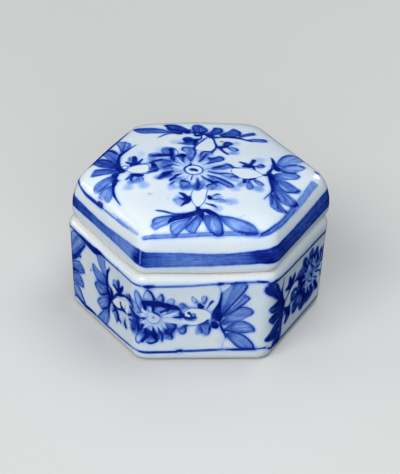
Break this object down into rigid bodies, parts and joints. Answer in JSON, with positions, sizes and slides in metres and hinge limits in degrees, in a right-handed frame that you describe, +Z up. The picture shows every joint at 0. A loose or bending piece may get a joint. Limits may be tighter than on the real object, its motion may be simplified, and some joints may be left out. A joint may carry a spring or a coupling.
{
  "type": "seal paste box",
  "caption": "Hexagonal porcelain box with a lift-off lid, hand-painted in cobalt blue, holding a pat of vermilion seal paste.",
  "frame": {"origin": "middle of the foot, on the surface the box stands on", "axes": "+Z up, +X to the right through two opposite corners, so one flat side faces -Y, the front"},
  "size_m": [0.0747, 0.0662, 0.046],
  "materials": {
    "painted_porcelain": "glossy clear glaze over cobalt blue brushwork on white porcelain",
    "vermilion_paste": "soft, oily satin"
  },
  "bodies": {
    "box": {"box_body": "painted_porcelain", "seal_paste": "vermilion_paste"},
    "lid": {"lid": "painted_porcelain"}
  },
  "joints": [
    {"name": "lid_lift", "type": "slide", "parent": "box", "child": "lid", "axis": [0, 0, 1], "range_m": [0, 0.06]}
  ]
}
